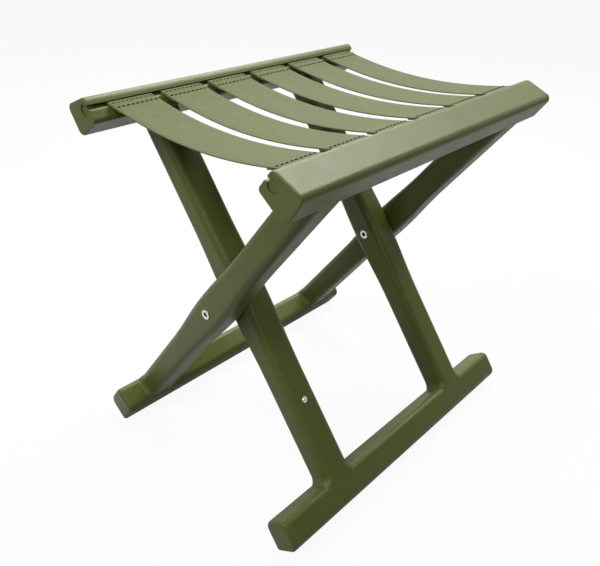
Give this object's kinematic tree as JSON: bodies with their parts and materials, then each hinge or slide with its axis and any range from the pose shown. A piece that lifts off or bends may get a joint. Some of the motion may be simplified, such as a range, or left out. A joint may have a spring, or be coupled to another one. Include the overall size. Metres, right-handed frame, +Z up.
{
  "type": "folding camping stool",
  "caption": "Low folding stool with two crossed moulded frames that turn on hollow rivets, and a seat of webbing straps looped round rods in the top rails.",
  "frame": {"origin": "on the floor, midway between the floor bars, under the pivot", "axes": "+Z up, +Y along the rails towards the rear, +X towards the outer frame's top rail"},
  "size_m": [0.2406, 0.2986, 0.3064],
  "materials": {
    "frame_plastic": "satin olive green moulded plastic",
    "rod_plastic": "satin olive green",
    "webbing": "woven webbing",
    "rivet_steel": "plated",
    "washer_plastic": "matte"
  },
  "bodies": {
    "outer_frame": {"outer_top_rail": "frame_plastic", "outer_leg_front": "frame_plastic", "outer_leg_rear": "frame_plastic", "outer_floor_bar": "frame_plastic", "outer_strap_rod": "rod_plastic", "outer_rod_plug_front": "rod_plastic", "outer_rod_plug_rear": "rod_plastic", "pivot_rivet_front": "rivet_steel", "pivot_rivet_rear": "rivet_steel", "pivot_washer_front": "washer_plastic", "pivot_washer_rear": "washer_plastic", "seat_strap_1": "webbing", "seat_strap_2": "webbing", "seat_strap_3": "webbing", "seat_strap_4": "webbing", "seat_strap_5": "webbing", "seat_strap_6": "webbing"},
    "inner_frame": {"inner_top_rail": "frame_plastic", "inner_leg_front": "frame_plastic", "inner_leg_rear": "frame_plastic", "inner_floor_bar": "frame_plastic", "inner_strap_rod": "rod_plastic", "inner_rod_plug_front": "rod_plastic", "inner_rod_plug_rear": "rod_plastic", "leg_stud": "rivet_steel"}
  },
  "joints": [
    {"name": "fold", "type": "hinge", "parent": "outer_frame", "child": "inner_frame", "pos_m": [0, 0, 0.15725], "axis": [0, 1, 0], "range_deg": [0, 61], "deforming": ["seat_strap_1", "seat_strap_2", "seat_strap_3", "seat_strap_4", "seat_strap_5", "seat_strap_6"]}
  ]
}
